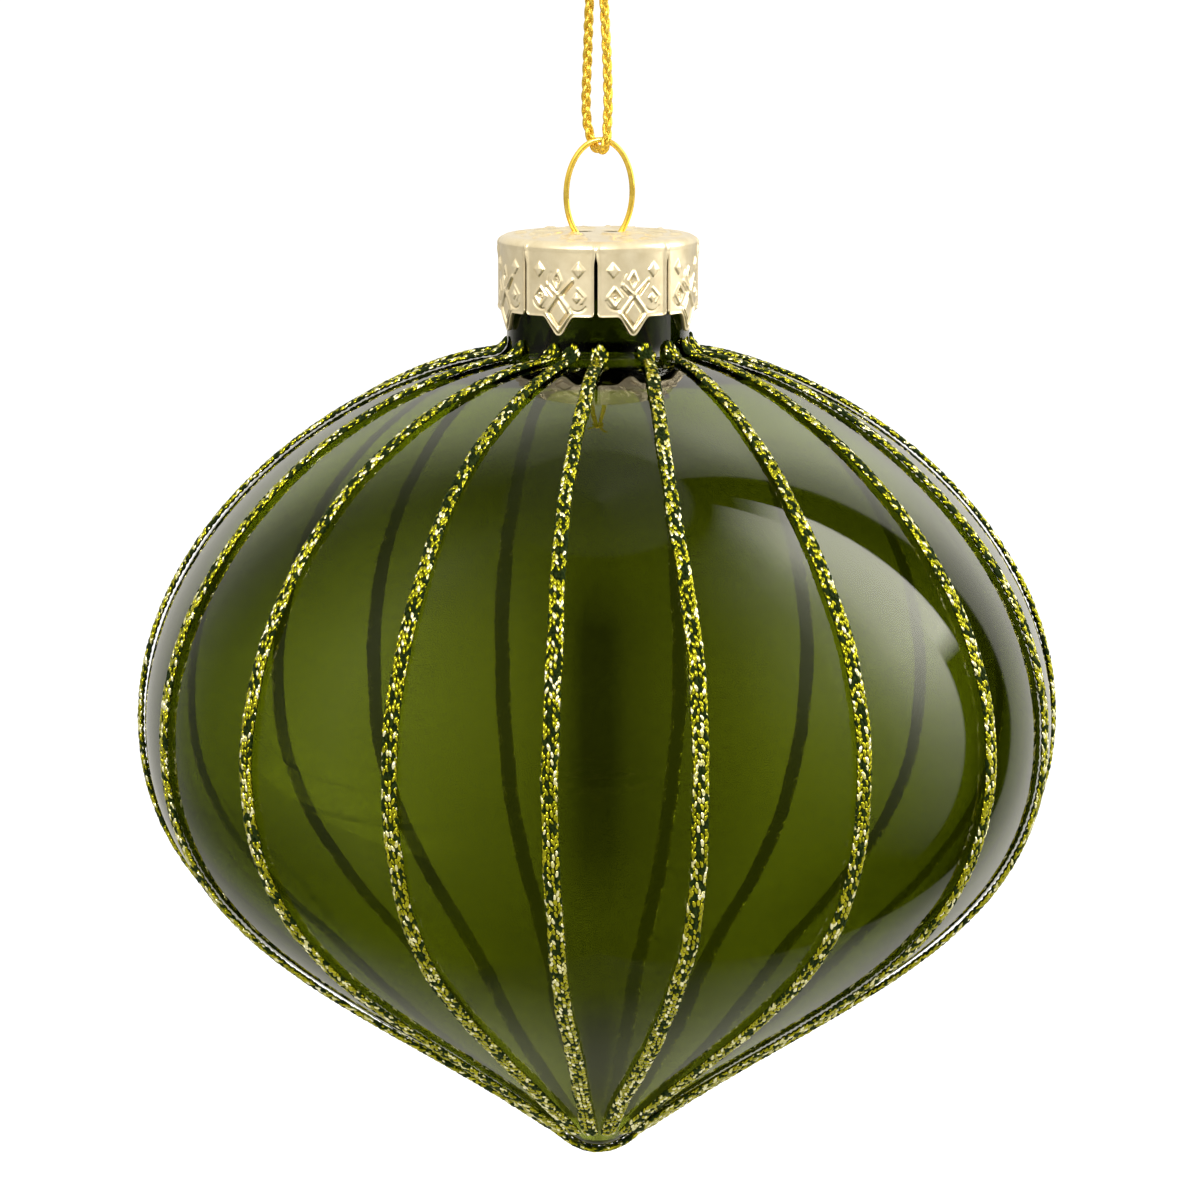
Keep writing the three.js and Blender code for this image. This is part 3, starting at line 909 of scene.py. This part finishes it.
def from_holes(x, y):
    """How far a place on the cap's top is from the edge of the nearer wire hole."""
    return np.hypot(np.abs(x) - WIRE_HOLE_OFFSET, y) - WIRE_HOLE_RADIUS


def flat_disc(loop, points, spacing, steps):
    """Places and triangles that fill a ring of points down to the wire holes. The first places
    are the ring's, and then come those of each hole in steps."""
    edge = [Vector(points[i][:2]) for i in loop]
    flat = list(edge)
    edges = [(i, (i + 1) % len(edge)) for i in range(len(edge))]
    for x in (-WIRE_HOLE_OFFSET, WIRE_HOLE_OFFSET):
        first = len(flat)
        for i in range(steps):
            angle = 2 * math.pi * i / steps
            across = x + WIRE_HOLE_RADIUS * math.cos(angle)
            flat.append(Vector((across, WIRE_HOLE_RADIUS * math.sin(angle))))
            edges.append((first + i, first + (i + 1) % steps))
    limit = edge[0].length
    count = int(limit / spacing) + 1
    for i in range(-count, count + 1):
        for j in range(-count, count + 1):
            x = (i + 0.5 * (j % 2)) * spacing
            y = j * spacing * 0.87
            if math.hypot(x, y) < limit - spacing * 0.6 and from_holes(x, y) > spacing * 0.5:
                flat.append(Vector((x, y)))
    places, _, triangles, _, _, _ = delaunay_2d_cdt(flat, edges, [], 0, 1e-5)
    places = np.array([tuple(place) for place in places])
    kept = [triangle for triangle in triangles if from_holes(*places[list(triangle)].mean(0)) > -0.01]
    return places, kept


def cap_top_disc(points, faces, outer_loop, inner_loop):
    """The disc on top with its relief, its plain underside, and the walls of its two wire holes."""
    steps = 40
    hole_edges = []
    for loop, spacing, upper in ((outer_loop, 0.14, True), (inner_loop, 0.5, False)):
        places, triangles = flat_disc(loop, points, spacing, steps)
        x, y = places.T
        if upper:
            z = DRAWN_TOP + smoothstep(CAP_OUTER - CAP_EDGE - np.hypot(x, y), 0, 0.4) * top_relief(x, y)
            z -= 0.1 * bell(from_holes(x, y), 0.2)
        else:
            z = np.full(len(places), DRAWN_TOP - CAP_SHEET)
        numbers = list(loop)
        for i in range(len(loop), len(places)):
            numbers.append(len(points))
            points.append((x[i], y[i], z[i]))
        for a, b, c in triangles:
            face = (numbers[a], numbers[b], numbers[c])
            faces.append(face if upper else face[::-1])
        hole_edges.append(numbers[len(loop) : len(loop) + 2 * steps])
    for first in (0, steps):
        wall = closed([edge[first : first + steps] for edge in hole_edges])
        faces += grid_faces(list(zip(*wall)))


# Wire hanger


def hanger_wire():
    """One bent wire: a leg, the ring above the cap, and the other leg."""
    waist = math.asin(WAIST_HALF / RING_HALF_WIDTH)
    ring_centre = CAP_TOP + RING_HALF_HEIGHT * math.cos(waist)
    leg, ring = [], []
    for i in range(8):
        half = LEG_SPREAD + (WAIST_HALF - LEG_SPREAD) * i / 8
        leg.append((-half, 0, CAP_TOP - LEG_DEPTH * (1 - i / 8)))
    for i in range(49):
        angle = waist + (2 * math.pi - 2 * waist) * i / 48
        height = ring_centre - RING_HALF_HEIGHT * math.cos(angle)
        lean = RING_LEAN * (height - CAP_TOP)
        ring.append((-RING_HALF_WIDTH * math.sin(angle) + lean, 0, height))
    line = smooth_path(leg + ring + [(-x, 0, height) for x, _, height in leg[::-1]], 400)
    up = np.tile([0.0, 1.0, 0.0], (len(line), 1))
    radius = np.full(len(line), WIRE_RADIUS)
    made, faces = tube(line, up, radius, radius, 20)
    piece = mesh_piece("hanger_wire_drawn", made, faces, [GOLD_WIRE])
    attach(piece, "hanger")
    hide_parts("hanger_wire")


def smooth_path(points, count):
    """A centripetal Catmull-Rom path through points, in count steps."""
    p = np.asarray(points, float)
    p = np.vstack([2 * p[0] - p[1], p, 2 * p[-1] - p[-2]])
    spans = len(p) - 3
    made = []
    for k in range(count + 1):
        place_along = k / count * spans
        i = min(int(place_along), spans - 1)
        row = p[i : i + 4]
        times = np.concatenate([[0], np.cumsum(np.linalg.norm(np.diff(row, axis=0), axis=1) ** 0.5)])
        time = times[1] + (times[2] - times[1]) * (place_along - i)

        def between(first, last, a, b):
            """The place at this time on the way from a at one time to b at another."""
            share = (time - times[first]) / (times[last] - times[first])
            return (1 - share) * a + share * b

        for reach in (1, 2):
            row = [between(j, j + reach, row[j], row[j + 1]) for j in range(len(row) - 1)]
        made.append(between(1, 2, *row))
    return np.array(made)


# Hanging cord and knot


def even_cord(route, count):
    """An even path along a route, and normals that face the front, square to the cord, so that
    its plait shows its flat side."""
    line = smooth_path(route, count)
    tangents = unit(np.gradient(line, axis=0))
    front = [0, -1, 0] + 0.6 * np.abs(tangents[:, 1:2]) * [0, 0, -1]
    return resampled(line, front, 0.06)


def hanging_cord():
    """The plaited cord, as its piece and its middle line."""
    line, normals = even_cord(CORD_ROUTE, 600)
    points, faces = joined(plait(line, normals))
    piece = mesh_piece("hanging_cord_plait", points, faces, [GOLD_YARN])
    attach(piece, "cord")
    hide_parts("hanging_cord")
    return piece, line


def cord_knot():
    """The two ends tied together: a wrap around them and two short tails."""
    wrap = []
    for i in range(40):
        share = i / 39
        angle = 2 * math.pi * WRAP_TURNS * share
        radius = WRAP_RADIUS + 0.08 * math.sin(3 * angle)
        wrap.append((radius * math.cos(angle), radius * math.sin(angle), WRAP_FOOT + WRAP_HEIGHT * share))
    parts = []
    for route in (wrap, *TAIL_ROUTES):
        line, normals = even_cord(route, 300)
        parts += plait(line, line * [1, 1, 0] if route is wrap else normals)
    points, faces = joined(parts)
    piece = mesh_piece("cord_knot_tied", points, faces, [GOLD_YARN])
    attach(piece, "cord")
    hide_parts("cord_knot")
    return piece


# Stage


def world_light():
    """The surroundings, by direction: plain white to the camera, a graded backdrop straight through
    the glass, and the studio in polished surfaces, with a tall softbox at the right, the bright
    room behind and dark in front. Rough metals take a soft light that grows with height, and all
    else an even one."""
    world = bpy.data.worlds.new("studio")
    bpy.context.scene.world = world
    world.use_nodes = True
    tree = world.node_tree
    tree.nodes.clear()
    output = tree.nodes.new("ShaderNodeOutputWorld")
    where = tree.nodes.new("ShaderNodeTexCoord")
    x, y, z = add_node(tree, "ShaderNodeSeparateXYZ", {"Vector": where.outputs["Generated"]}).outputs
    turn = math_node(tree, "ARCTAN2", x, math_node(tree, "MULTIPLY", y, -1.0))
    rise = math_node(tree, "ARCSINE", z)

    def profile(angle, low, high, stops):
        """A value that follows stops of (degrees, value) of an angle."""
        top = max(value for _, value in stops)
        share = add_node(
            tree, "ShaderNodeMapRange",
            {"Value": angle, "From Min": math.radians(low), "From Max": math.radians(high)},
        ).outputs[0]
        grey = [((at - low) / (high - low), (value / top,) * 3) for at, value in stops]
        return math_node(tree, "MULTIPLY", ramp(tree, share, grey), top)

    lamp_turn = profile(turn, 30, 120, [
        (31, 0), (40, 0.05), (50, 0.2), (65, 0.7), (77, 1.8), (84, 3.2), (91, 5.0), (98, 5.9),
        (104, 6.2), (105, 0),
    ])
    lamp_rise = profile(rise, -40, 80, [
        (-36, 0), (-25, 0.05), (-15, 0.1), (-5, 0.2), (5, 0.36), (15, 0.66), (25, 0.95), (54, 1),
        (64, 0.4), (70, 0),
    ])
    edge_turn = profile(turn, 100, 120, [(104, 0), (105, 6.2), (112.6, 6.2), (113.6, 0)])
    edge_rise = profile(rise, 0, 80, [(15, 0), (21, 1), (54, 1), (63, 0.1), (66, 0)])
    room_turn = profile(turn, -180, 180, [
        (-179, 1.1), (-165, 1.2), (-150, 1.1), (-143, 0.85), (-136, 0.55), (-127, 0.28),
        (-115, 0.12), (-100, 0.12), (-85, 0.2), (-70, 0.33), (-55, 0.2), (-40, 0.12), (-25, 0.06),
        (-10, 0.01), (30, 0.01), (50, 0.05), (100, 0.0), (126.5, 0), (128, 1.0), (135, 1.5),
        (143, 2.1), (152, 2.1), (165, 1.5), (179, 1.1),
    ])
    room_rise = profile(rise, -90, 80, [
        (-70, 0.03), (-55, 0.14), (-45, 0.26), (-35, 0.38), (-25, 0.48), (-15, 0.56), (-5, 0.64),
        (5, 0.76), (15, 0.88), (30, 1), (58, 1), (66, 0.55), (72.5, 0.4), (74, 0),
    ])
    ceiling_turn = profile(turn, -180, 180, [
        (-179, 0.28), (-130, 0.15), (-60, 0.1), (0, 0.1), (50, 0.2), (110, 0.28), (140, 0.4),
        (179, 0.3),
    ])
    ceiling_rise = profile(rise, 60, 90, [(72.5, 0), (74, 1)])
    studio = math_node(tree, "MULTIPLY", lamp_turn, lamp_rise)
    studio = math_node(tree, "MULTIPLY_ADD", edge_turn, edge_rise, studio)
    studio = math_node(tree, "MULTIPLY_ADD", room_turn, room_rise, studio)
    studio = math_node(tree, "MULTIPLY_ADD", ceiling_turn, ceiling_rise, studio)

    # The backdrop that the glass shows: lit from above and from both sides, so darker in its middle
    ahead = math_node(tree, "ARCTAN2", x, y)
    height = profile(rise, -18, 12, [
        (-14, 1.5), (-12.5, 0.85), (-11.6, 0.8), (-10.9, 1.05), (-10.3, 1.2), (-9, 1.3),
        (-8, 1.25), (-7.5, 1.08), (-7, 0.95), (-6.6, 0.8), (-6.2, 0.66), (-5.8, 0.62),
        (-5.3, 0.85), (-4.8, 1.35), (-4.2, 2.1), (-3.4, 2.8), (-2, 3), (2, 2.5), (8, 1.5),
    ])
    width = profile(ahead, -12, 12, [
        (-9, 1), (-7, 1.2), (-5, 1.05), (-2.9, 1.15), (-2, 1), (-1, 0.74), (0, 0.62), (1, 0.7),
        (2, 1.05), (5.2, 1), (6, 0.45), (7, 0.5), (8, 1),
    ])
    band = profile(ahead, -4, 4, [
        (-0.9, 1), (-0.5, 0.8), (-0.16, 0.25), (0.12, 0.25), (0.3, 0.5), (0.8, 0.73), (1.5, 0.75),
        (2.2, 0.9), (2.6, 1),
    ])
    band_reach = profile(rise, -14, -5, [(-11.4, 0), (-10.6, 0.8), (-10, 1), (-8, 1), (-6.8, 0)])
    near = profile(ahead, -12, 12, [(-11, 0), (-9, 1), (9, 1), (11, 0)])
    shade = math_node(tree, "MULTIPLY", height, width)
    shade = math_node(tree, "MULTIPLY", shade, faded(tree, band, band_reach))
    backdrop = faded(tree, shade, near)

    to_camera, mirrored, straight = light_kinds(tree)
    path = tree.nodes.new("ShaderNodeLightPath")
    seen = math_node(tree, "MAXIMUM", to_camera, straight)
    soft = profile(rise, -90, 90, [(-90, 0.35), (-20, 0.6), (0, 0.85), (35, 1.1), (90, 1.2)])
    shader = add_node(tree, "ShaderNodeBackground", {"Color": WHITE, "Strength": 0.62})
    for factor, colour, strength in (
        (path.outputs["Is Glossy Ray"], WHITE, soft), (mirrored, ROOM_COLOUR, studio),
        (seen, WHITE, faded(tree, backdrop, straight)),
    ):
        light = add_node(tree, "ShaderNodeBackground", {"Color": colour, "Strength": strength})
        shader = mixed(tree, factor, shader, light)
    tree.links.new(shader.outputs[0], output.inputs["Surface"])


def faded(tree, value, share):
    """The value where share is 1, and 1 where share is 0."""
    missing = math_node(tree, "MULTIPLY", share, math_node(tree, "SUBTRACT", 1.0, value))
    return math_node(tree, "SUBTRACT", 1.0, missing)


def light_kinds(tree):
    """Three factors from the light's path: whether the camera sees it, whether a polished surface
    mirrored it, and whether it comes straight through glass."""
    path = tree.nodes.new("ShaderNodeLightPath")
    once = math_node(tree, "GREATER_THAN", path.outputs["Glossy Depth"], 0.5)
    sharp = math_node(tree, "MULTIPLY", path.outputs["Is Singular Ray"], once)
    mirrored = math_node(tree, "MULTIPLY", path.outputs["Is Glossy Ray"], sharp)
    never = math_node(tree, "SUBTRACT", 1.0, once)
    straight = math_node(tree, "MULTIPLY", path.outputs["Is Transmission Ray"], never)
    return path.outputs["Is Camera Ray"], mirrored, straight


def panel(name, width, depth, height, material):
    """A level rectangle around the axis, in metres, for the floor or a lamp."""
    x, y = width / 2, depth / 2
    mesh = bpy.data.meshes.new(name)
    corners = [(-x, -y, height), (x, -y, height), (x, y, height), (-x, y, height)]
    mesh.from_pydata(corners, [], [(0, 1, 2, 3)])
    mesh.materials.append(material)
    piece = add_object(name, mesh)
    return piece


def softbox(name, azimuth, elevation, distance, width, height, radiance, glints_only=False):
    """A glowing panel aimed at the middle of the glass. What it would look like in a polished
    surface is painted in the world, so mirrored light passes it."""
    material, tree, output = new_material(name)
    path = tree.nodes.new("ShaderNodeLightPath")
    glow = add_node(tree, "ShaderNodeEmission", {"Color": WHITE, "Strength": radiance})
    gone = add_node(tree, "ShaderNodeBsdfTransparent", {"Color": WHITE})
    final = mixed(tree, path.outputs["Is Singular Ray"], glow, gone)
    tree.links.new(final.outputs[0], output.inputs["Surface"])
    piece = panel(name, width, height, 0, material)
    turn, rise = math.radians(azimuth), math.radians(elevation)
    away = Vector((
        math.sin(turn) * math.cos(rise), -math.cos(turn) * math.cos(rise), math.sin(rise),
    ))
    piece.location = Vector((0, 0, -HANG_HEIGHT)) * MM + away * distance
    piece.rotation_euler = (-away).to_track_quat("-Z", "Y").to_euler()
    piece.visible_camera = False
    piece.visible_transmission = False
    piece.visible_shadow = False
    piece.visible_diffuse = not glints_only


def floor():
    """A pale floor well below the hanging bauble. Mirrored light and light straight through glass
    come from the studio past it."""
    material, tree, output = new_material("pale_floor")
    to_camera, mirrored, straight = light_kinds(tree)
    matt = add_node(tree, "ShaderNodeBsdfDiffuse", {"Color": (0.8, 0.8, 0.8, 1)})
    whitening = math_node(tree, "MULTIPLY", to_camera, 0.6)
    glow = add_node(tree, "ShaderNodeEmission", {"Color": WHITE, "Strength": whitening})
    lit = tree.nodes.new("ShaderNodeAddShader")
    tree.links.new(matt.outputs[0], lit.inputs[0])
    tree.links.new(glow.outputs[0], lit.inputs[1])
    gone = add_node(tree, "ShaderNodeBsdfTransparent", {"Color": WHITE})
    final = mixed(tree, math_node(tree, "MAXIMUM", mirrored, straight), lit, gone)
    tree.links.new(final.outputs[0], output.inputs["Surface"])
    panel("floor", FLOOR_SIZE, FLOOR_SIZE, FLOOR_HEIGHT - HANG_HEIGHT * MM, material)


def camera():
    """The photograph's view."""
    data = bpy.data.cameras.new("camera")
    data.lens = CAMERA_LENS
    data.sensor_width = CAMERA_SENSOR
    data.clip_start = 0.01
    data.clip_end = 50
    piece = add_object("camera", data)
    piece.location = CAMERA_PLACE
    piece.rotation_euler = (CAMERA_TARGET - CAMERA_PLACE).to_track_quat("-Z", "Y").to_euler()
    bpy.context.scene.camera = piece


GLASS = glass_material()
CAP_METAL = cap_material()
GOLD_WIRE = wire_material()
GOLD_YARN = yarn_material(
    "gold_yarn", (0.62, 0.36, 0.02), (0.92, 0.64, 0.08), metallic=0.75, roughness=0.3,
    grain=0.00018, depth=0.00006,
)
# The trim cords' yarns glow faintly when seen across the glass, as painted light
FOIL_YARN = yarn_material(
    "foil_yarn", (0.2, 0.2, 0.004), (0.47, 0.43, 0.02), metallic=1.0, roughness=0.17,
    grain=0.0006, depth=0.00006, painted_glow=0.27,
)
# Pale foil whose light colour is a painted highlight, standing in for the foil's glints
PAINTED_GLINT_YARN = yarn_material(
    "painted_glint_yarn", (0.62, 0.58, 0.16), (0.95, 0.90, 0.55), metallic=1.0, roughness=0.2,
    grain=0.0006, depth=0.00006, painted_glow=0.27,
)
GREEN_YARN = yarn_material(
    "green_yarn", (0.007, 0.018, 0.001), (0.028, 0.045, 0.003), metallic=0.0, roughness=0.6,
    grain=0.0003, depth=0.00008, painted_glow=0.27, specular=0.06,
)

camera()
world_light()
softbox("key_softbox", azimuth=95, elevation=26, distance=1.2, width=0.72, height=1.1, radiance=5.0)
softbox("front_fill", azimuth=-28, elevation=30, distance=1.5, width=1.2, height=1.0, radiance=2.2)
softbox(
    "glint_lamp", azimuth=-12, elevation=38, distance=1.3, width=0.35, height=0.35, radiance=30.0,
    glints_only=True,
)
floor()

cord_piece, cord_line = hanging_cord()
knot = cord_knot()
glass_body()
hanger_wire()
crown_cap()
trim_cords()

bpy.context.scene.view_settings.view_transform = "Standard"
